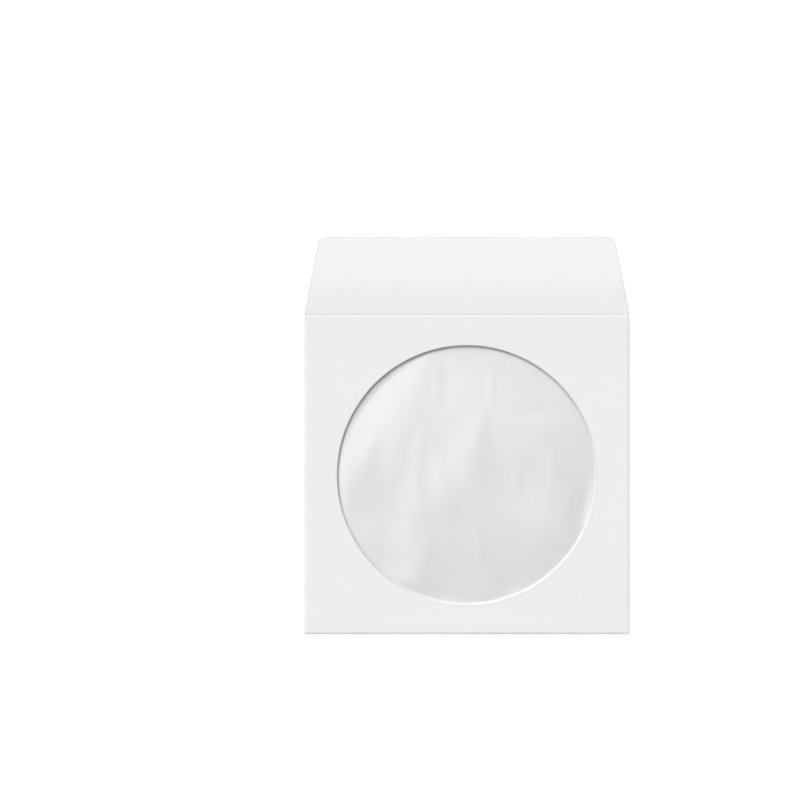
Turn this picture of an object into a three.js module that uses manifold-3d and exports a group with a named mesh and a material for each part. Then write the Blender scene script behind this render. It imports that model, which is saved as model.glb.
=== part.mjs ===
import * as THREE from "three";
import { mergeVertices } from "three/addons/utils/BufferGeometryUtils.js";
import Module from "manifold-3d";

// A paper sleeve for one disc, with a round clear window and a tapered flap. One sheet is folded
// behind itself at both sides, then up from the bottom, and glued along its two side seams. It
// lies on its back panel, window up, with the flap open towards +Y. Sizes are in millimetres.
// The origin is on the back panel's outer face, on the axis of the disc that the sleeve holds.

// The disc, and the room that the pocket leaves around it.
const discDiameter = 120;
const discThickness = 1.2;
const roomBesideDisc = 2.5;
const roomBelowDisc = 1;
const roomAboveDisc = 1.5;
const roomOverDisc = 0.3;

// The sheet and its folds.
const paperThickness = 0.13;
const sideFoldReach = 1.3;
const creaseWidth = 1.3;
const creaseDepth = 0.09;

// The flap, as seen from above. It is level near the crease, then bends down to the table.
const flapDepth = 30.2;
const flapBaseInset = 0.25;
const flapShoulder = 1.2;
const flapSlant = 5.6;
const flapCornerReach = 2.8;
const flapBendMiddle = 13.2;
const flapBendLength = 8.5;

// The back panel and the side flaps that it is glued to.
const seamInset = 0.3;
const seamEndLap = 1.5;
const sideFlapSetback = 1.5;
const sideFlapTaper = 8;
const sideFlapTopGap = 1.5;
const throatDrop = 4;
const throatDip = 3;
const throatCornerReach = 3;

// The window, and the film that is glued behind it.
const windowLip = 10;
const filmThickness = 0.04;
const filmOverlap = 5;
const glueLine = 0.02;
const rippleHeight = 0.14;
const rippleWave = 27;
const rippleFan = 0.9;
const rippleEdge = 7;

// How finely curves are drawn.
const foldSteps = 7;
const windowSteps = 64;
const filmColumns = 36;
const filmRows = 18;

// Sizes that follow from the ones above.
const sleeveHalfWidth = discDiameter / 2 + roomBesideDisc;
const bottomFold = -discDiameter / 2 - roomBelowDisc;
const crease = discDiameter / 2 + roomAboveDisc;
const windowRadius = discDiameter / 2 - windowLip;
const backInner = paperThickness;
const sideFlapInner = 2 * paperThickness;
const filmUnder = sideFlapInner + discThickness + roomOverDisc;
const frontInner = filmUnder + filmThickness + glueLine;
const frontOuter = frontInner + paperThickness;
const sideFoldStart = sleeveHalfWidth - sideFoldReach;
const sideFoldMiddle = (backInner + frontOuter) / 2;
const sideFoldHalfHeight = (frontOuter - backInner) / 2;
const backHalfWidth = sideFoldStart - seamInset;
const creaseStart = crease - creaseWidth / 2;
const creaseEnd = crease + creaseWidth / 2;
const panelEnd = crease - creaseWidth;
const throat = crease - throatDrop;
const pastEdge = 1;

// Where each outline's own axes point: the first two lie in the outline, and the third is the way
// it is extruded. Outlines across the sleeve are symmetrical, so they may be drawn from behind.
const towardsX = new THREE.Vector3(1, 0, 0);
const towardsY = new THREE.Vector3(0, 1, 0);
const towardsZ = new THREE.Vector3(0, 0, 1);
const acrossSleeve = new THREE.Matrix4().makeBasis(towardsY, towardsZ, towardsX);
const alongSleeve = new THREE.Matrix4().makeBasis(towardsX.clone().negate(), towardsZ, towardsY);
const throughSleeve = new THREE.Matrix4().makeBasis(towardsX, towardsY, towardsZ);

const wasm = await Module();
wasm.setup();

// A solid with the given outline between two levels.
function prism(outline, placing, low, high, curveSegments = foldSteps) {
  const geometry = new THREE.ExtrudeGeometry(outline, { depth: 1, bevelEnabled: false, curveSegments });
  const stretch = new THREE.Matrix4().makeScale(1, 1, high - low).setPosition(0, 0, low);
  geometry.applyMatrix4(placing.clone().multiply(stretch));
  geometry.deleteAttribute("normal");
  geometry.deleteAttribute("uv");
  const merged = mergeVertices(geometry);
  const vertProperties = new Float32Array(merged.attributes.position.array);
  const triVerts = new Uint32Array(merged.index.array);
  return new wasm.Manifold(new wasm.Mesh({ numProp: 3, vertProperties, triVerts }));
}

// The geometry of a finished solid.
function geometryOf(solid) {
  const { vertProperties, triVerts } = solid.getMesh();
  const geometry = new THREE.BufferGeometry();
  geometry.setAttribute("position", new THREE.BufferAttribute(vertProperties, 3));
  geometry.setIndex(new THREE.BufferAttribute(triVerts, 1));
  geometry.computeVertexNormals();
  return geometry;
}

// The pocket's outside, cut across: the back panel, and above it the side folds and the front.
function outerSection() {
  const outline = new THREE.Shape();
  const quarter = Math.PI / 2;
  outline.moveTo(-backHalfWidth, 0);
  outline.lineTo(backHalfWidth, 0);
  outline.absellipse(sideFoldStart, sideFoldMiddle, sideFoldReach, sideFoldHalfHeight, -quarter, quarter);
  outline.absellipse(-sideFoldStart, sideFoldMiddle, sideFoldReach, sideFoldHalfHeight, quarter, 3 * quarter);
  return outline;
}

// The room inside the pocket, cut across, from the side flaps up to the front panel.
function innerSection() {
  const outline = new THREE.Shape();
  const quarter = Math.PI / 2;
  const reach = sideFoldReach - paperThickness;
  const halfHeight = sideFoldHalfHeight - paperThickness;
  outline.absellipse(sideFoldStart, sideFoldMiddle, reach, halfHeight, -quarter, quarter);
  outline.absellipse(-sideFoldStart, sideFoldMiddle, reach, halfHeight, quarter, 3 * quarter);
  return outline;
}

// The pocket from the side, with its half-round bottom fold, drawn in from its outside by inset.
function foldedProfile(inset) {
  const outline = new THREE.Shape();
  const radius = frontOuter / 2;
  outline.moveTo(creaseEnd, inset);
  outline.lineTo(creaseEnd, frontOuter - inset);
  outline.absarc(bottomFold + radius, radius, radius - inset, Math.PI / 2, 1.5 * Math.PI);
  return outline;
}

// What lies between the two side flaps, whose ends are cut at a slant, seen from above.
function betweenSideFlaps() {
  const edge = windowRadius + sideFlapSetback;
  const lapped = backHalfWidth - seamEndLap;
  const top = throat - sideFlapTopGap;
  const outline = new THREE.Shape();
  outline.moveTo(-lapped, bottomFold);
  outline.lineTo(lapped, bottomFold);
  outline.lineTo(edge, bottomFold + sideFlapTaper);
  outline.lineTo(edge, top - sideFlapTaper);
  outline.lineTo(lapped, top);
  outline.lineTo(lapped, creaseEnd);
  outline.lineTo(-lapped, creaseEnd);
  outline.lineTo(-lapped, top);
  outline.lineTo(-edge, top - sideFlapTaper);
  outline.lineTo(-edge, bottomFold + sideFlapTaper);
  return outline;
}

// What is cut away above the back panel's throat, a shallow curve with rounded corners.
function aboveThroat() {
  const side = sleeveHalfWidth + pastEdge;
  const outline = new THREE.Shape();
  outline.moveTo(side, creaseEnd);
  outline.lineTo(-side, creaseEnd);
  outline.lineTo(-side, throat - throatCornerReach);
  outline.lineTo(-backHalfWidth, throat - throatCornerReach);
  outline.quadraticCurveTo(-backHalfWidth, throat, throatCornerReach - backHalfWidth, throat);
  outline.quadraticCurveTo(0, throat - 2 * throatDip, backHalfWidth - throatCornerReach, throat);
  outline.quadraticCurveTo(backHalfWidth, throat, backHalfWidth, throat - throatCornerReach);
  outline.lineTo(side, throat - throatCornerReach);
  return outline;
}

// The flap seen from above, from the crease to its rounded top corners.
function flapOutline() {
  const base = sleeveHalfWidth - flapBaseInset;
  const top = crease + flapDepth + pastEdge;
  const slope = flapSlant / (flapDepth - flapShoulder);
  const tip = crease + flapDepth;
  const corner = base - flapSlant;
  const start = corner + slope * flapCornerReach;
  const outline = new THREE.Shape();
  outline.moveTo(-base, panelEnd);
  outline.lineTo(base, panelEnd);
  outline.lineTo(base, crease + flapShoulder);
  outline.lineTo(start, tip - flapCornerReach);
  outline.quadraticCurveTo(corner, tip, corner - flapCornerReach, tip);
  outline.lineTo(corner - flapCornerReach, top);
  outline.lineTo(flapCornerReach - corner, top);
  outline.lineTo(flapCornerReach - corner, tip);
  outline.quadraticCurveTo(-corner, tip, -start, tip - flapCornerReach);
  outline.lineTo(-base, crease + flapShoulder);
  return outline;
}

// The flap from the side: a scored crease, a level stretch, a bend, and a slope to the table.
function flapProfile() {
  const bend = crease + flapBendMiddle;
  const tip = crease + flapDepth;
  const tilt = Math.atan2(frontInner, tip - bend);
  const reach = flapBendLength / 2;
  const quarter = creaseWidth / 4;
  const bottom = frontInner - creaseDepth;
  const under = new THREE.Path();
  under.moveTo(panelEnd, frontInner);
  under.lineTo(creaseStart, frontInner);
  under.bezierCurveTo(crease - quarter, frontInner, crease - quarter, bottom, crease, bottom);
  under.bezierCurveTo(crease + quarter, bottom, crease + quarter, frontInner, creaseEnd, frontInner);
  under.lineTo(bend - reach, frontInner);
  const bendEnd = new THREE.Vector2(bend + reach * Math.cos(tilt), frontInner - reach * Math.sin(tilt));
  under.quadraticCurveTo(bend, frontInner, bendEnd.x, bendEnd.y);
  under.lineTo(tip, 0);
  return sheetOutline(under.getPoints(foldSteps), paperThickness);
}

// A sheet's outline from the points of its lower face, with its upper face a thickness above.
function sheetOutline(under, thickness) {
  const over = under.map((point, i) => {
    const before = point.clone().sub(under[Math.max(i - 1, 0)]);
    const after = under[Math.min(i + 1, under.length - 1)].clone().sub(point);
    const along = before.normalize().add(after.clone().normalize()).normalize();
    const normal = new THREE.Vector2(-along.y, along.x);
    const step = i === under.length - 1 ? point.clone().sub(under[i - 1]) : after;
    const squareness = step.normalize().dot(along);
    return point.clone().addScaledVector(normal, thickness / squareness);
  });
  return new THREE.Shape([...under, ...over.reverse()]);
}

function windowOutline() {
  return new THREE.Shape().absarc(0, 0, windowRadius, 0, 2 * Math.PI);
}

// The folded and glued sheet: a shell round the pocket, open at the throat, with the flap joined
// to the front panel at the crease.
function paperEnvelope() {
  const half = sleeveHalfWidth + pastEdge;
  const outside = prism(outerSection(), alongSleeve, bottomFold, panelEnd)
    .intersect(prism(foldedProfile(0), acrossSleeve, -half, half));
  const pocket = prism(innerSection(), alongSleeve, bottomFold, creaseEnd)
    .add(prism(betweenSideFlaps(), throughSleeve, backInner, sideFoldMiddle))
    .intersect(prism(foldedProfile(paperThickness), acrossSleeve, -half, half));
  const mouth = prism(aboveThroat(), throughSleeve, -pastEdge, sideFoldMiddle);
  const hole = prism(windowOutline(), throughSleeve, sideFoldMiddle, frontOuter + pastEdge, windowSteps);
  const flap = prism(flapProfile(), acrossSleeve, -half, half)
    .intersect(prism(flapOutline(), throughSleeve, -pastEdge, frontOuter + pastEdge));
  const sheet = outside.subtract(pocket).subtract(mouth).subtract(hole).add(flap);
  const material = new THREE.MeshStandardMaterial({ color: 0xeeeeec, roughness: 0.85, metalness: 0 });
  const mesh = new THREE.Mesh(geometryOf(sheet), material);
  mesh.name = "paper_envelope";
  return mesh;
}

// How far the loose film stands above its glued margin: soft ripples that fan out from the top.
function ripple(x, y) {
  const fade = THREE.MathUtils.smoothstep(windowRadius - rippleEdge - Math.hypot(x, y), 0, 2 * rippleEdge);
  const spread = 1 + rippleFan * (windowRadius - y) / (2 * windowRadius);
  const turn = 2 * Math.PI * x / (rippleWave * spread);
  return rippleHeight * fade * (Math.sin(turn + 1) + 0.5 * Math.sin(2.3 * turn + y / rippleWave));
}

// The clear pane, glued flat to the inside of the front panel all round the window.
function windowFilm() {
  const width = 2 * (windowRadius + filmOverlap);
  const geometry = new THREE.BoxGeometry(width, width, filmThickness, filmColumns, filmRows, 1);
  const points = geometry.attributes.position;
  const middle = filmUnder + filmThickness / 2;
  for (let i = 0; i < points.count; i += 1) {
    points.setZ(i, points.getZ(i) + middle + ripple(points.getX(i), points.getY(i)));
  }
  geometry.computeVertexNormals();
  const material = new THREE.MeshStandardMaterial({
    color: 0xf4f6f7,
    roughness: 0.12,
    metalness: 0,
    transparent: true,
    opacity: 0.3,
  });
  const mesh = new THREE.Mesh(geometry, material);
  mesh.name = "window_film";
  return mesh;
}

const sleeve = new THREE.Group();
sleeve.add(paperEnvelope(), windowFilm());

export default sleeve;
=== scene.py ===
import math

import bmesh
import bpy
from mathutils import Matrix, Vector
from mathutils.kdtree import KDTree


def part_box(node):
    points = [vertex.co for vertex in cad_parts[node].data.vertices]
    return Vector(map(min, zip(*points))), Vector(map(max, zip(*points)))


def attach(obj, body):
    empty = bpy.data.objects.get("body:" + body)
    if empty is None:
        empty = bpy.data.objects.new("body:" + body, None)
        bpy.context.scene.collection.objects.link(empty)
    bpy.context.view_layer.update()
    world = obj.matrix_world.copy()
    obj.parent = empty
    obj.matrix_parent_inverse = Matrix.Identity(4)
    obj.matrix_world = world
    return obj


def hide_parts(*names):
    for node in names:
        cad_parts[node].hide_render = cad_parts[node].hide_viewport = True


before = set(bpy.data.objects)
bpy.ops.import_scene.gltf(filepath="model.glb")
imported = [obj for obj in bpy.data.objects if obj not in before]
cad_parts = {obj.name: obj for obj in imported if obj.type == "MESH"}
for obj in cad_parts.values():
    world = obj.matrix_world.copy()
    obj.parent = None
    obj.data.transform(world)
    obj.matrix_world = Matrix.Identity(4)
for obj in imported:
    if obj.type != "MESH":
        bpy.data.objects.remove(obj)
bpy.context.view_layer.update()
mm = 0.001


# The envelope. One sheet of plain white writing paper, die cut with a round window, folded behind
# itself at both sides, then up from the bottom, and glued along the two side seams. Past the
# scored crease it carries on as the open flap, which bends down until its edge meets the table.
envelope_low, envelope_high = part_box("paper_envelope")
half_width = envelope_high.x
bottom_edge = envelope_low.y
panel_height = envelope_high.z
paper_thickness = 0.13 * mm
glue_film = 0.005 * mm

window_radius = 50 * mm
side_fold_reach = 1.3 * mm
side_fold_low = paper_thickness + glue_film
side_fold_start = half_width - side_fold_reach
side_fold_middle = (panel_height + side_fold_low) / 2
side_fold_rise = (panel_height - side_fold_low) / 2
side_fold_steps = 16
bottom_fold_radius = panel_height / 2
bottom_fold_start = bottom_edge + bottom_fold_radius
bottom_fold_turns = 3
fold_squareness = 3.2

crease = 61.5 * mm
crease_width = 1.2 * mm
crease_depth = 0.13 * mm
crease_steps = 14
crease_cell = 0.3 * mm
flap_base = half_width - 0.25 * mm
flap_shoulder = crease + 1.2 * mm
flap_slant = 5.6 * mm
flap_corner = 2.8 * mm
flap_corner_steps = 9
flap_bend = crease + 13.2 * mm
flap_bend_reach = 4.25 * mm
flap_bend_steps = 12
flap_tip = 91.7 * mm
shoulder_start = 57.5 * mm
shoulder_end = 61.4 * mm

seam_inset = 0.3 * mm
back_half_width = side_fold_start - seam_inset
throat = 57.5 * mm
throat_dip = 3 * mm
throat_corner = 3 * mm
side_flap_edge = 51.5 * mm
side_flap_bottom = -53 * mm
side_flap_top = 48 * mm
side_flap_steps = 8

plate_line = half_width - 2.55 * mm
plate_line_depth = 0.035 * mm
plate_line_reach = 0.3 * mm
plate_line_fade = 3 * mm
margin_start = half_width - 3.1 * mm
panel_start = bottom_fold_start
panel_end = crease - 1.6 * mm
cell = 1.2 * mm
fine_cell = 0.13 * mm
same_point = 0.0002 * mm
sharp_edge = math.radians(40)

# How the thin sheet fails to lie quite flat: slow waves as (length, heading, phase, share).
sheet_waves = (
    (88 * mm, 0.5, 0.4, 1.0),
    (61 * mm, 2.2, 2.9, 0.6),
    (43 * mm, 1.4, 5.1, 0.35),
)
sheet_wave_height = 0.05 * mm
sheet_wave_fade = 9 * mm


def spaced(start, end, step):
    count = max(1, round(abs(end - start) / step))
    return [start + (end - start) * i / count for i in range(count + 1)]


def smoothstep(value, start, end):
    share = min(1, max(0, (value - start) / (end - start)))
    return share * share * (3 - 2 * share)


def sheet_lift(x, y):
    fade = smoothstep(side_fold_start - abs(x), 0, sheet_wave_fade)
    fade *= smoothstep(y - bottom_fold_start, 0, sheet_wave_fade)
    fade *= smoothstep(panel_end - y, 0, sheet_wave_fade)
    total = sum(
        share * math.sin(2 * math.pi * (x * math.cos(heading) + y * math.sin(heading)) / length + phase)
        for length, heading, phase, share in sheet_waves
    )
    return sheet_wave_height * fade * (total - 1)


def plate_groove(x):
    nearness = 1 - abs(abs(x) - plate_line) / plate_line_reach
    return -plate_line_depth * smoothstep(nearness, 0, 1)


def front_point(x, y):
    pressed = smoothstep(y - bottom_fold_start, 0, plate_line_fade)
    return Vector((x, y, panel_height + pressed * plate_groove(x) + sheet_lift(x, y)))


half_columns = spaced(0, margin_start, cell)
columns = [-x for x in reversed(half_columns)] + half_columns[1:]
rows = spaced(panel_start, panel_end, cell)
margin_columns = spaced(margin_start, side_fold_start, fine_cell)
fold_angles = [math.pi / 2 - math.pi * k / side_fold_steps for k in range(side_fold_steps + 1)]


def pressed_flat(share):
    """Turns a share of a round fold into that of a fold pressed flatter, which is squarer."""
    return math.copysign(abs(share) ** (2 / fold_squareness), share)


side_fold_section = [
    (side_fold_start + side_fold_reach * pressed_flat(max(0, math.cos(a))),
     side_fold_middle + side_fold_rise * pressed_flat(math.sin(a)))
    for a in fold_angles
]
half_fold = side_fold_steps // 2


def bottom_fold_y(z):
    """How far the bottom fold reaches at a height."""
    rise = abs(z - bottom_fold_radius) / bottom_fold_radius
    reach = max(0, 1 - rise ** fold_squareness) ** (1 / fold_squareness)
    return bottom_fold_start - bottom_fold_radius * reach


def flap_half_width(y):
    """Half the flap's width: straight shoulders, slanting sides, rounded top corners."""
    slope = flap_slant / (flap_tip - flap_shoulder)
    corner_x = flap_base - flap_slant
    corner_y = flap_tip - flap_corner
    if y <= flap_shoulder:
        return flap_base
    if y <= corner_y:
        return flap_base - slope * (y - flap_shoulder)
    t = 1 - math.sqrt(max(0, (flap_tip - y) / flap_corner))
    start_x = corner_x + slope * flap_corner
    return (1 - t) ** 2 * start_x + 2 * t * (1 - t) * corner_x + t * t * (corner_x - flap_corner)


def flap_profile():
    """The flap's upper face from the side, as points (y, z) from the panel to the flap's edge."""
    crease_start = crease - crease_width / 2
    crease_end = crease + crease_width / 2
    bend_start = flap_bend - flap_bend_reach
    tilt = math.atan2(panel_height - paper_thickness, flap_tip - flap_bend)
    path = [(y, panel_height) for y in spaced(panel_end, crease_start, crease_cell)]
    for i in range(1, crease_steps):
        y = crease_start + crease_width * i / crease_steps
        path.append((y, panel_height - crease_depth * math.sin(math.pi * i / crease_steps) ** 2))
    path += [(y, panel_height) for y in spaced(crease_end, bend_start, cell)]
    for i in range(1, flap_bend_steps + 1):
        t = i / flap_bend_steps
        y = bend_start + 2 * t * (1 - t) * flap_bend_reach
        y += t * t * flap_bend_reach * (1 + math.cos(tilt))
        path.append((y, panel_height - t * t * flap_bend_reach * math.sin(tilt)))
    corner_start = flap_tip - flap_corner
    slope_rows = spaced(path[-1][0], corner_start, cell)[1:]
    for i in range(1, flap_corner_steps + 1):
        slope_rows.append(flap_tip - flap_corner * (1 - i / flap_corner_steps) ** 2)
    last_y, last_z = path[-1]
    return path + [(y, last_z - (y - last_y) * math.tan(tilt)) for y in slope_rows]


def edge_point(side, k, y, z=panel_height):
    """A point of the strip outside the panel: rolled down beside the pocket, flat beside the flap."""
    x_rolled, z_rolled = side_fold_section[k]
    x_flat = side_fold_start + (flap_base - side_fold_start) * k / half_fold
    flat = smoothstep(y, shoulder_start, shoulder_end)
    x = x_rolled + (x_flat - x_rolled) * flat
    return Vector((side * x, y, z_rolled + (z - z_rolled) * flat))


def across_row(point, last_x):
    """One row of points right across the sleeve, whose outermost columns lie at last_x."""
    stretch = (last_x - margin_start) / (side_fold_start - margin_start)
    right = columns[len(columns) // 2:]
    right = right + [margin_start + (x - margin_start) * stretch for x in margin_columns[1:]]
    return [point(-x) for x in reversed(right)] + [point(x) for x in right[1:]]


def lay(sheet, grid):
    """Adds a grid of points to the sheet as four-sided faces."""
    made = [[sheet.verts.new(point) for point in row] for row in grid]
    for lower, upper in zip(made, made[1:]):
        for corners in zip(lower, lower[1:], upper[1:], upper):
            sheet.faces.new(corners)


def panel_rays():
    """The front panel from the window's cut edge out to its four sides, one ray for each point there."""
    outline = [(x, panel_start) for x in columns] + [(margin_start, y) for y in rows[1:]]
    outline += [(x, panel_end) for x in reversed(columns[:-1])]
    outline += [(-margin_start, y) for y in reversed(rows[:-1])]
    near_rim = [d * mm for d in (0, 0.05, 0.12, 0.22, 0.36, 0.55, 0.8, 1.2, 1.8, 2.6, 3.6)]
    far_steps = 14
    rays = []
    for x, y in outline:
        reach = math.hypot(x, y)
        rest = reach - window_radius - near_rim[-1]
        radii = [window_radius + d for d in near_rim]
        radii += [radii[-1] + rest * i / far_steps for i in range(1, far_steps + 1)]
        rays.append([front_point(x * r / reach, y * r / reach) for r in radii])
    return rays


def throat_y(x):
    """Where the back panel ends: a shallow dip with rounded corners."""
    inner = back_half_width - throat_corner
    if abs(x) <= inner:
        t = (x + inner) / (2 * inner)
        return throat - 4 * throat_dip * t * (1 - t)
    t = 1 - math.sqrt(max(0, (back_half_width - abs(x)) / throat_corner))
    return throat - throat_corner * t * t


sheet = bmesh.new()
lay(sheet, panel_rays())
for side in (-1, 1):
    turned = 1 if side > 0 else -1
    lay(sheet, [[front_point(side * x, y) for x in margin_columns[::turned]] for y in rows])

    mitre = [Vector((side * x, bottom_fold_y(z), z)) for x, z in side_fold_section]
    upper = [mitre[:half_fold + 1]]
    upper += [[edge_point(side, k, y) for k in range(half_fold + 1)] for y in rows[1:]]
    lay(sheet, [row[::turned] for row in upper])

    folded_rows = [y for y in rows[1:] if y <= throat - throat_corner]
    lower = [mitre[half_fold:]]
    lower += [[Vector((side * x, y, z)) for x, z in side_fold_section[half_fold:]] for y in folded_rows]
    lay(sheet, [row[::turned] for row in lower])

    seam = [row[-1] for row in lower]
    side_flap = []
    for point in seam:
        share = (point.y - seam[0].y) / (seam[-1].y - seam[0].y)
        end = Vector((side * side_flap_edge, 0, side_fold_low))
        end.y = side_flap_bottom + share * (side_flap_top - side_flap_bottom)
        side_flap.append([point.lerp(end, i / side_flap_steps) for i in range(side_flap_steps + 1)])
    lay(sheet, [row[::turned] for row in side_flap])

flap_rows = []
for y, z in flap_profile():
    squeeze = flap_half_width(y) / flap_base
    pressed = 1 - smoothstep(y, panel_end, crease - crease_width / 2)
    row = across_row(lambda x: Vector((x, y, z + pressed * plate_groove(x))), side_fold_start)
    row = [edge_point(-1, k, y, z) for k in range(half_fold, 0, -1)] + row
    row += [edge_point(1, k, y, z) for k in range(1, half_fold + 1)]
    flap_rows.append([Vector((p.x * squeeze, p.y, p.z)) for p in row])
lay(sheet, flap_rows)

bottom_rows = []
for x_end, z in side_fold_section:
    y = bottom_fold_y(z)
    bottom_rows.append(across_row(lambda x: Vector((x, y, z)), x_end))
for i in range(1, bottom_fold_turns + 1):
    share = i / bottom_fold_turns
    z = side_fold_low * (1 - share) ** 2
    y = bottom_fold_y(z)
    x_end = side_fold_start - seam_inset * share
    bottom_rows.append(across_row(lambda x: Vector((x, y, z)), x_end))
lay(sheet, bottom_rows[::-1])

back_steps = 60
back_rows = []
for i in range(back_steps + 1):
    share = i / back_steps
    back_rows.append(across_row(
        lambda x: Vector((x, bottom_fold_start + share * (throat_y(x) - bottom_fold_start), 0)),
        back_half_width,
    ))
lay(sheet, back_rows[::-1])

bmesh.ops.remove_doubles(sheet, verts=sheet.verts, dist=same_point)

# Painted shade: the sheet's colour is greyed a little along its cut edges and along the ridges of its
# side folds, a dark outline that stands in for the shade at the sheet's edges.
edge_shade_reach = 0.45 * mm
fold_edge_shade = 0.35
rim_edge_shade = 0.2
shaded_edge_points = []
for vertex in sheet.verts:
    if vertex.is_boundary:
        at_window = vertex.co.xy.length < window_radius + cell
        shaded_edge_points.append((vertex.co.copy(), rim_edge_shade if at_window else 1))
ridge = half_width - 0.15 * mm
shaded_edge_points += [(v.co.copy(), fold_edge_shade) for v in sheet.verts if abs(v.co.x) > ridge]
shaded_edge_places = KDTree(len(shaded_edge_points))
for number, (place, strength) in enumerate(shaded_edge_points):
    shaded_edge_places.insert(place, number)
shaded_edge_places.balance()
edge_shade = []
for vertex in sheet.verts:
    place, number, distance = shaded_edge_places.find(vertex.co)
    edge_shade.append(shaded_edge_points[number][1] * (1 - smoothstep(distance, 0, edge_shade_reach)))

flat_sheet = bpy.data.meshes.new("envelope_sheet")
sheet.to_mesh(flat_sheet)
sheet.free()
flat_sheet.attributes.new("edge_shade", "FLOAT", "POINT").data.foreach_set("value", edge_shade)
shaping = bpy.data.objects.new("envelope_shaping", flat_sheet)
bpy.context.scene.collection.objects.link(shaping)
thickness = shaping.modifiers.new("paper thickness", "SOLIDIFY")
thickness.thickness = paper_thickness
thickness.offset = -1
thickness.use_even_offset = True
finished = bpy.data.meshes.new_from_object(shaping.evaluated_get(bpy.context.evaluated_depsgraph_get()))
bpy.data.objects.remove(shaping)
finished.shade_smooth()
finished.set_sharp_from_angle(angle=sharp_edge)
envelope = bpy.data.objects.new("envelope", finished)
bpy.context.scene.collection.objects.link(envelope)


def node(tree, kind, **settings):
    """A new node of the tree with these settings."""
    made = tree.nodes.new(kind)
    for name, value in settings.items():
        setattr(made, name, value)
    return made


def paper_material():
    material = bpy.data.materials.new("white_paper")
    material.use_nodes = True
    tree = material.node_tree
    shader = tree.nodes["Principled BSDF"]
    place = node(tree, "ShaderNodeTexCoord").outputs["Object"]

    clouds = node(tree, "ShaderNodeTexNoise")
    clouds.inputs["Scale"].default_value = 180
    clouds.inputs["Detail"].default_value = 3
    tree.links.new(place, clouds.inputs["Vector"])
    tone = node(tree, "ShaderNodeMix", data_type="RGBA")
    tone.inputs["A"].default_value = (0.862, 0.862, 0.863, 1)
    tone.inputs["B"].default_value = (0.878, 0.878, 0.879, 1)
    tree.links.new(clouds.outputs["Fac"], tone.inputs["Factor"])

    # Painted shade: along the edges the paper's colour is mixed towards this grey, as a dark outline.
    edge_shade_value = node(tree, "ShaderNodeAttribute", attribute_name="edge_shade")
    edge_shaded = node(tree, "ShaderNodeMix", data_type="RGBA")
    edge_shaded.inputs["B"].default_value = (0.68, 0.68, 0.68, 1)
    tree.links.new(edge_shade_value.outputs["Fac"], edge_shaded.inputs["Factor"])
    tree.links.new(tone.outputs["Result"], edge_shaded.inputs["A"])
    tree.links.new(edge_shaded.outputs["Result"], shader.inputs["Base Color"])

    fibres = node(tree, "ShaderNodeTexNoise")
    fibres.inputs["Scale"].default_value = 2600
    fibres.inputs["Detail"].default_value = 4
    tree.links.new(place, fibres.inputs["Vector"])
    tooth = node(tree, "ShaderNodeBump")
    tooth.inputs["Strength"].default_value = 0.35
    tooth.inputs["Distance"].default_value = 0.02 * mm
    tree.links.new(fibres.outputs["Fac"], tooth.inputs["Height"])
    tree.links.new(tooth.outputs["Normal"], shader.inputs["Normal"])
    rough = node(tree, "ShaderNodeMapRange")
    rough.inputs["To Min"].default_value = 0.8
    rough.inputs["To Max"].default_value = 0.95
    tree.links.new(fibres.outputs["Fac"], rough.inputs["Value"])
    tree.links.new(rough.outputs["Result"], shader.inputs["Roughness"])
    return material


finished.materials.clear()
finished.materials.append(paper_material())
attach(envelope, "root")
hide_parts("paper_envelope")


# The window pane. A square of clear, glossy 0.04 mm film, cut from a roll and glued flat to the
# inside of the front panel all round the window. Where it hangs free it drops a little below the
# glue, and the pull of the glue and the roll leaves it in soft folds that fan out downwards.
film_half_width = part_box("window_film")[1].x
film_thickness = 0.04 * mm
glue_line = 0.02 * mm
film_top = panel_height - paper_thickness - glue_line
film_turns = 360
film_rings = 110
free_rings = 0.76
rim_rings = 0.92
rim_band_inside = 2 * mm
rim_band_outside = 0.6 * mm
weld_distance = 0.001 * mm
film_drop = 0.19 * mm
film_crown = 0.2 * mm
film_drop_reach = 1.1 * mm
glue_edge = 0.05 * mm
held_edge = 0.5 * mm
fold_fade = 3.5 * mm
fold_width = 1.2 * mm
fold_lead = 2 * mm
fold_onset = 7 * mm
fold_fading = 0.55
ripple_height = 0.05 * mm
ripple_grain = 32
ripple_across = 1.6
ripple_along = 0.7

# Each fold: its start in x and y in mm, the way it runs in degrees, how fast it widens, its slope,
# and its length in mm. Where the slope is positive, the film falls to the left of that way.
tension_folds = (
    (-13, 51, -132, 0.30, -0.042, 72),
    (-33, 19, -104, 0.24, 0.034, 46),
    (-19, 20, -97, 0.10, -0.026, 110),
    (-12.6, 15, -72, 0.12, 0.032, 40),
    (7.6, 25, -92, 0.30, 0.032, 46),
    (4, -18, -72, 0.12, 0.028, 40),
    (-13, -22, -96, 0.20, 0.024, 40),
    (21, 6, -88, 0.05, 0.030, 16),
    (33, 10, -70, 0.30, 0.026, 46),
    (41, -5, -88, 0.20, 0.030, 16),
    (30, -19, -50, 0.18, -0.022, 20),
    (17, 22.5, -8, 0.14, 0.022, 20),
    (-10, 46, -88, 0.06, 0.034, 24),
    (8, 41, -90, 0.04, -0.034, 16),
)


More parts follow.
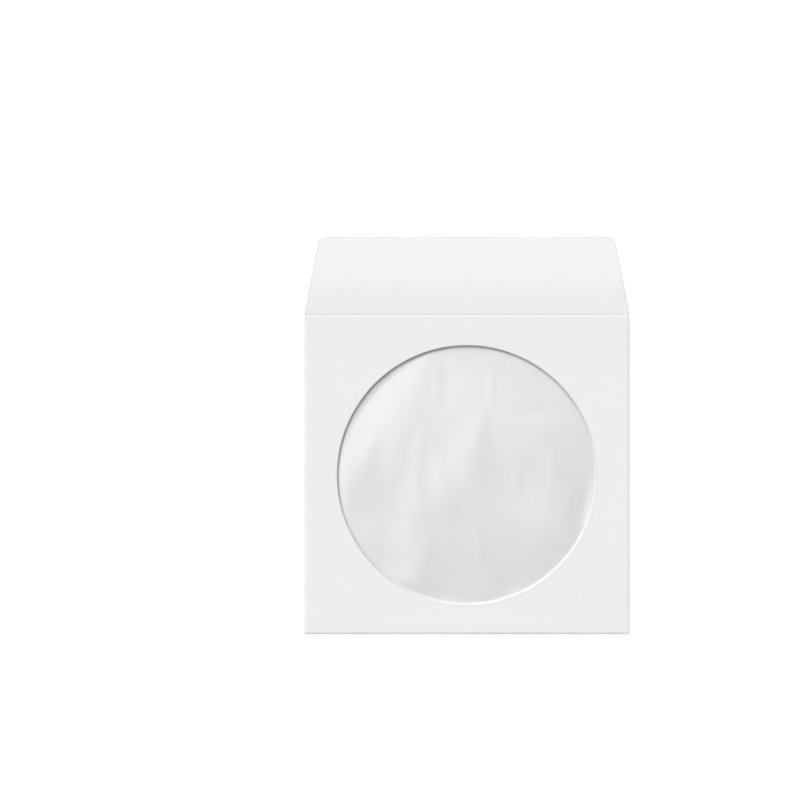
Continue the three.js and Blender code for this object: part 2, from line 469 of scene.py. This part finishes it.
class Figure:
    """A number worked out by a node tree, which plain arithmetic adds nodes to."""

    def __init__(self, tree, socket):
        self.tree = tree
        self.socket = socket

    def put(self, operation, *others):
        made = node(self.tree, "ShaderNodeMath", operation=operation)
        for socket, value in zip(made.inputs, (self, *others)):
            if isinstance(value, Figure):
                self.tree.links.new(value.socket, socket)
            else:
                socket.default_value = value
        return Figure(self.tree, made.outputs[0])

    def __add__(self, other):
        return self.put("ADD", other)

    def __sub__(self, other):
        return self.put("SUBTRACT", other)

    def __mul__(self, other):
        return self.put("MULTIPLY", other)

    def __truediv__(self, other):
        return self.put("DIVIDE", other)

    def between(self, start, end, low=0, high=1, soft=True):
        """Goes from low to high as this figure goes from start to end, and no further."""
        made = node(self.tree, "ShaderNodeMapRange")
        made.interpolation_type = "SMOOTHSTEP" if soft else "LINEAR"
        for name, value in zip(("Value", "From Min", "From Max", "To Min", "To Max"),
                               (self, start, end, low, high)):
            if isinstance(value, Figure):
                self.tree.links.new(value.socket, made.inputs[name])
            else:
                made.inputs[name].default_value = value
        return Figure(self.tree, made.outputs["Result"])


def new_tree(name, inputs, output, output_kind):
    """An empty Geometry Nodes tree with these number inputs and one output."""
    tree = bpy.data.node_groups.new(name, "GeometryNodeTree")
    given = {}
    for label in inputs:
        tree.interface.new_socket(name=label, in_out="INPUT", socket_type="NodeSocketFloat")
    tree.interface.new_socket(name=output, in_out="OUTPUT", socket_type=output_kind)
    source = node(tree, "NodeGroupInput")
    for label in inputs:
        given[label] = Figure(tree, source.outputs[label])
    return tree, given


def place_in(tree):
    """The x and y of the point that the tree works on."""
    apart = node(tree, "ShaderNodeSeparateXYZ")
    tree.links.new(node(tree, "GeometryNodeInputPosition").outputs[0], apart.inputs[0])
    return Figure(tree, apart.outputs[0]), Figure(tree, apart.outputs[1])


def fold_tree():
    """How high one tension fold lifts the film: it widens along its way, and fades out at its end."""
    labels = ("Start x", "Start y", "Heading", "Widening", "Slope", "Length")
    tree, given = new_tree("tension_fold", labels, "Height", "NodeSocketFloat")
    x, y = place_in(tree)
    run_x = x - given["Start x"]
    run_y = y - given["Start y"]
    cosine = given["Heading"].put("COSINE")
    sine = given["Heading"].put("SINE")
    along = run_x * cosine + run_y * sine
    across = run_y * cosine - run_x * sine
    width = along.put("MAXIMUM", 0.0) * given["Widening"] + fold_width
    share = across / width
    bell = (share * share * -0.5).put("EXPONENT")
    presence = along.between(-fold_lead, fold_onset)
    presence = presence * along.between(given["Length"] * fold_fading, given["Length"], 1, 0)
    height = share * bell * width * given["Slope"] * presence * -1.0
    tree.links.new(height.socket, node(tree, "NodeGroupOutput").inputs[0])
    return tree


def paper_lift(x, y):
    """The front panel's slow waves once more, as nodes, so that the glued film follows the paper."""
    fade = (x.put("ABSOLUTE") * -1 + side_fold_start).between(0, sheet_wave_fade)
    fade = fade * (y - bottom_fold_start).between(0, sheet_wave_fade)
    fade = fade * (y * -1 + panel_end).between(0, sheet_wave_fade)
    total = None
    for length, heading, phase, share in sheet_waves:
        turn = (x * math.cos(heading) + y * math.sin(heading)) * (2 * math.pi / length) + phase
        wave = turn.put("SINE") * share
        total = wave if total is None else total + wave
    return (total - 1) * fade * sheet_wave_height


def film_tree(material):
    """The pane as rings of points round the window's middle, out to the pane's square outline."""
    labels = ("Window radius", "Half width", "Top", "Drop", "Ripple height")
    tree, given = new_tree("window_pane", labels, "Geometry", "NodeSocketGeometry")
    grid = node(tree, "GeometryNodeMeshGrid")
    grid.inputs["Size X"].default_value = 1
    grid.inputs["Size Y"].default_value = 1
    grid.inputs["Vertices X"].default_value = film_turns + 1
    grid.inputs["Vertices Y"].default_value = film_rings + 1
    across_grid, along_grid = place_in(tree)
    turn = (across_grid + 0.5) * (-2 * math.pi)
    ring = along_grid + 0.5
    cosine = turn.put("COSINE")
    sine = turn.put("SINE")
    square = given["Half width"] / cosine.put("ABSOLUTE").put("MAXIMUM", sine.put("ABSOLUTE"))
    rim_start = given["Window radius"] - rim_band_inside
    rim_end = given["Window radius"] + rim_band_outside
    radius = ring.between(0, free_rings, 0, rim_start, soft=False)
    radius = radius + ring.between(free_rings, rim_rings, 0, rim_end - rim_start, soft=False)
    radius = radius + ring.between(rim_rings, 1, 0, square - rim_end, soft=False)
    spread = node(tree, "ShaderNodeCombineXYZ")
    tree.links.new((radius * cosine).socket, spread.inputs[0])
    tree.links.new((radius * sine).socket, spread.inputs[1])
    round_grid = node(tree, "GeometryNodeSetPosition")
    tree.links.new(grid.outputs["Mesh"], round_grid.inputs["Geometry"])
    tree.links.new(spread.outputs[0], round_grid.inputs["Position"])
    closed = node(tree, "GeometryNodeMergeByDistance")
    closed.inputs["Distance"].default_value = weld_distance
    tree.links.new(round_grid.outputs[0], closed.inputs["Geometry"])

    x, y = place_in(tree)
    from_middle = (x * x + y * y).put("SQRT")
    inside = given["Window radius"] - from_middle
    height = given["Top"] - given["Drop"] * inside.between(-glue_edge, film_drop_reach)
    folds = fold_tree()
    loose = None
    for start_x, start_y, heading, widening, slope, length in tension_folds:
        fold = node(tree, "GeometryNodeGroup", node_tree=folds)
        values = (start_x * mm, start_y * mm, math.radians(heading), widening, slope, length * mm)
        for socket, value in zip(fold.inputs, values):
            socket.default_value = value
        lifted = Figure(tree, fold.outputs[0])
        loose = lifted if loose is None else loose + lifted
    drawn_out = node(tree, "ShaderNodeCombineXYZ")
    tree.links.new((x * ripple_across).socket, drawn_out.inputs[0])
    tree.links.new((y * ripple_along).socket, drawn_out.inputs[1])
    ripples = node(tree, "ShaderNodeTexNoise")
    ripples.inputs["Scale"].default_value = ripple_grain
    ripples.inputs["Detail"].default_value = 2
    tree.links.new(drawn_out.outputs[0], ripples.inputs["Vector"])
    loose = loose + (Figure(tree, ripples.outputs["Fac"]) - 0.5) * given["Ripple height"] * 2
    height = height + loose * inside.between(held_edge, fold_fade) + paper_lift(x, y)
    height = height + inside.between(0, given["Window radius"]) * film_crown
    lift = node(tree, "ShaderNodeCombineXYZ")
    tree.links.new(height.socket, lift.inputs[2])
    shaped = node(tree, "GeometryNodeSetPosition")
    tree.links.new(closed.outputs[0], shaped.inputs["Geometry"])
    tree.links.new(lift.outputs[0], shaped.inputs["Offset"])
    smooth = node(tree, "GeometryNodeSetShadeSmooth")
    tree.links.new(shaped.outputs[0], smooth.inputs["Geometry"])
    real = node(tree, "GeometryNodeRealizeInstances")
    tree.links.new(smooth.outputs[0], real.inputs["Geometry"])
    finish = node(tree, "GeometryNodeSetMaterial")
    finish.inputs["Material"].default_value = material
    tree.links.new(real.outputs[0], finish.inputs["Geometry"])
    tree.links.new(finish.outputs[0], node(tree, "NodeGroupOutput").inputs[0])
    return tree


def film_material():
    material = bpy.data.materials.new("clear_film")
    material.use_nodes = True
    tree = material.node_tree
    output = tree.nodes["Material Output"]
    shader = tree.nodes["Principled BSDF"]
    shader.inputs["Transmission Weight"].default_value = 0.92
    shader.inputs["IOR"].default_value = 1.5

    place = node(tree, "ShaderNodeTexCoord").outputs["Object"]
    haze = node(tree, "ShaderNodeTexNoise")
    haze.inputs["Scale"].default_value = 45
    haze.inputs["Detail"].default_value = 5
    tree.links.new(place, haze.inputs["Vector"])
    tone = node(tree, "ShaderNodeMix", data_type="RGBA")
    tone.inputs["A"].default_value = (0.896, 0.896, 0.896, 1)
    tone.inputs["B"].default_value = (0.942, 0.942, 0.942, 1)
    tree.links.new(haze.outputs["Fac"], tone.inputs["Factor"])
    tree.links.new(tone.outputs["Result"], shader.inputs["Base Color"])
    rough = node(tree, "ShaderNodeMapRange")
    rough.inputs["To Min"].default_value = 0.07
    rough.inputs["To Max"].default_value = 0.14
    tree.links.new(haze.outputs["Fac"], rough.inputs["Value"])
    tree.links.new(rough.outputs["Result"], shader.inputs["Roughness"])

    open_way = node(tree, "ShaderNodeBsdfTransparent")
    open_way.inputs["Color"].default_value = (0.96, 0.96, 0.96, 1)
    path = node(tree, "ShaderNodeLightPath")
    passed = shader.outputs[0]
    for ray in ("Is Shadow Ray", "Is Diffuse Ray"):
        mix = node(tree, "ShaderNodeMixShader")
        tree.links.new(path.outputs[ray], mix.inputs[0])
        tree.links.new(passed, mix.inputs[1])
        tree.links.new(open_way.outputs[0], mix.inputs[2])
        passed = mix.outputs[0]
    tree.links.new(passed, output.inputs["Surface"])
    return material


clear_film = film_material()
pane_tree = film_tree(clear_film)
pane_source = bpy.data.objects.new("pane_source", bpy.data.meshes.new("pane_source"))
bpy.context.scene.collection.objects.link(pane_source)
pane_rule = pane_source.modifiers.new("pane", "NODES")
pane_rule.node_group = pane_tree
pane_sizes = {
    "Window radius": window_radius,
    "Half width": film_half_width,
    "Top": film_top,
    "Drop": film_drop,
    "Ripple height": ripple_height,
}
for socket in pane_tree.interface.items_tree:
    if socket.in_out == "INPUT":
        pane_rule[socket.identifier] = pane_sizes[socket.name]
pane_shaped = pane_source.evaluated_get(bpy.context.evaluated_depsgraph_get())
pane_mesh = bpy.data.meshes.new_from_object(pane_shaped)
bpy.data.objects.remove(pane_source)
pane = bpy.data.objects.new("window_pane", pane_mesh)
bpy.context.scene.collection.objects.link(pane)
pane_wall = pane.modifiers.new("film thickness", "SOLIDIFY")
pane_wall.thickness = film_thickness
pane_wall.offset = -1
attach(pane, "root")
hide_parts("window_film")


# The ground. A white table top that the sleeve lies on. It shows white to the camera and keeps a
# faint shadow beside the paper.
ground_half_width = 3
ground_level = -0.02 * mm
ground_glow = 0.78
ground_mesh = bpy.data.meshes.new("ground")
ground_corners = [(x * ground_half_width, y * ground_half_width, ground_level)
                  for x, y in ((-1, -1), (1, -1), (1, 1), (-1, 1))]
ground_mesh.from_pydata(ground_corners, [], [(0, 1, 2, 3)])
ground = bpy.data.objects.new("ground", ground_mesh)
bpy.context.scene.collection.objects.link(ground)
ground_material = bpy.data.materials.new("white_ground")
ground_material.use_nodes = True
tree = ground_material.node_tree
plain = tree.nodes["Principled BSDF"]
plain.inputs["Base Color"].default_value = (0.95, 0.95, 0.95, 1)
plain.inputs["Roughness"].default_value = 0.9
glow = node(tree, "ShaderNodeEmission")
glow.inputs["Strength"].default_value = 1.04
path = node(tree, "ShaderNodeLightPath")
seen = Figure(tree, path.outputs["Is Camera Ray"])
seen = seen.put("MAXIMUM", Figure(tree, path.outputs["Is Glossy Ray"]))
seen = seen.put("MAXIMUM", Figure(tree, path.outputs["Is Transmission Ray"])) * ground_glow
mix = node(tree, "ShaderNodeMixShader")
tree.links.new(seen.socket, mix.inputs[0])
tree.links.new(plain.outputs[0], mix.inputs[1])
tree.links.new(glow.outputs[0], mix.inputs[2])
tree.links.new(mix.outputs[0], tree.nodes["Material Output"].inputs["Surface"])
ground_mesh.materials.append(ground_material)


# The light. A wide soft box hangs overhead towards the upper left, and is what the film mirrors. A
# small lamp behind it sharpens the shadow along the window's edge. The room fills the shadows, more
# from the flap's side, and glows low down all round, which lights the sleeve's folded edges.
def direction(heading, tilt):
    """The way to a light: its heading from +X towards +Y, and its tilt from overhead, in degrees."""
    turn, lean = math.radians(heading), math.radians(tilt)
    return Vector((math.cos(turn) * math.sin(lean), math.sin(turn) * math.sin(lean), math.cos(lean)))


lamp_way = direction(116, 40)
lamp_spread = math.radians(12)
lamp_light = bpy.data.lights.new("lamp", "SUN")
lamp_light.angle = lamp_spread
lamp_light.energy = 0.82
lamp = bpy.data.objects.new("lamp", lamp_light)
lamp.location = lamp_way
lamp.rotation_euler = lamp_way.to_track_quat("Z", "Y").to_euler()
bpy.context.scene.collection.objects.link(lamp)

room_fill = 0.186
room_slope = 1.8
room_bright_side = direction(100, 90)
side_glow = 0.84
side_glow_top = 0.6
soft_box_way = direction(128, 23)
soft_box_strength = 3.33
soft_box_core = math.radians(14)
soft_box_edge = math.radians(31)
room = bpy.data.worlds.new("room")
room.use_nodes = True
tree = room.node_tree
way = node(tree, "ShaderNodeTexCoord").outputs["Generated"]


def toward(tree, target):
    """How squarely the room's point lies towards the target, as a cosine."""
    product = node(tree, "ShaderNodeVectorMath", operation="DOT_PRODUCT")
    product.inputs[1].default_value = target
    tree.links.new(way, product.inputs[0])
    return Figure(tree, product.outputs["Value"])


soft_box = toward(tree, soft_box_way).between(
    math.cos(soft_box_edge), math.cos(soft_box_core), 0, soft_box_strength)
walls = (toward(tree, room_bright_side) * room_slope + 1) * room_fill
walls = walls + toward(tree, (0, 0, 1)).between(0, side_glow_top, side_glow, 0)
strength = walls + soft_box
seen = Figure(tree, node(tree, "ShaderNodeLightPath").outputs["Is Camera Ray"])
strength = strength * (seen * -1 + 1) + seen
tree.links.new(strength.socket, tree.nodes["Background"].inputs["Strength"])
tree.nodes["Background"].inputs["Color"].default_value = (1, 1, 1, 1)
bpy.context.scene.world = room


# The camera looks straight down from above the upper left part of the sleeve.
frame_width = 307.5 * mm
axis_x = -25.7 * mm
axis_y = 28.9 * mm
lens = bpy.data.cameras.new("camera")
lens.sensor_width = 36
lens.lens = 100
camera = bpy.data.objects.new("camera", lens)
camera.location = (axis_x, axis_y, panel_height + frame_width * lens.lens / lens.sensor_width)
bpy.context.scene.collection.objects.link(camera)
bpy.context.scene.camera = camera
bpy.context.scene.view_settings.view_transform = "Standard"
